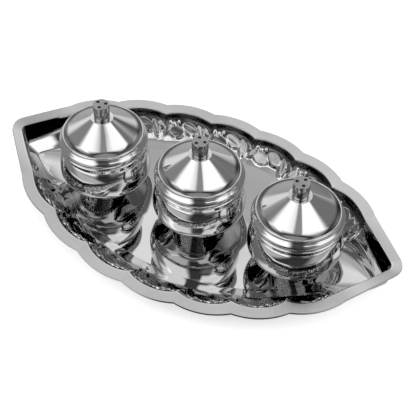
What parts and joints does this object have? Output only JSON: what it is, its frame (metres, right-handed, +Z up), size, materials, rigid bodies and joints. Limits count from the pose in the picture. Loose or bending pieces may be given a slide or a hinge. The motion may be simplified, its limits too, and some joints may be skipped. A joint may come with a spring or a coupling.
{
  "type": "kumkum holder plate",
  "caption": "Leaf-shaped polished metal tray with a scalloped flanged rim, carrying round lidded cups in a row, each lid a cone with a cylindrical knob.",
  "frame": {"origin": "middle of the tray's flat underside", "axes": "+Z up; +X along the tray from its left tip to its right tip; -Y towards the front of the tray"},
  "size_m": [0.2126, 0.1274, 0.0528],
  "materials": {
    "tray_metal": "polished, with fine hairlines",
    "cup_metal": "mirror polished",
    "knob_metal": "turned, satin on top",
    "screw_metal": "plain steel"
  },
  "bodies": {
    "tray_body": {"tray": "tray_metal"},
    "bowl_body_left": {"bowl_left": "cup_metal"},
    "lid_body_left": {"lid_left": "cup_metal", "knob_left": "knob_metal", "knob_screw_left": "screw_metal"},
    "bowl_body_middle": {"bowl_middle": "cup_metal"},
    "lid_body_middle": {"lid_middle": "cup_metal", "knob_middle": "knob_metal", "knob_screw_middle": "screw_metal"},
    "bowl_body_right": {"bowl_right": "cup_metal"},
    "lid_body_right": {"lid_right": "cup_metal", "knob_right": "knob_metal", "knob_screw_right": "screw_metal"}
  },
  "joints": [
    {"name": "bowl_lift_left", "type": "slide", "parent": "tray_body", "child": "bowl_body_left", "axis": [0, 0, 1], "range_m": [0, 0.04]},
    {"name": "lid_lift_left", "type": "slide", "parent": "bowl_body_left", "child": "lid_body_left", "axis": [0, 0, 1], "range_m": [0, 0.03]},
    {"name": "bowl_lift_middle", "type": "slide", "parent": "tray_body", "child": "bowl_body_middle", "axis": [0, 0, 1], "range_m": [0, 0.04]},
    {"name": "lid_lift_middle", "type": "slide", "parent": "bowl_body_middle", "child": "lid_body_middle", "axis": [0, 0, 1], "range_m": [0, 0.03]},
    {"name": "bowl_lift_right", "type": "slide", "parent": "tray_body", "child": "bowl_body_right", "axis": [0, 0, 1], "range_m": [0, 0.04]},
    {"name": "lid_lift_right", "type": "slide", "parent": "bowl_body_right", "child": "lid_body_right", "axis": [0, 0, 1], "range_m": [0, 0.03]}
  ]
}
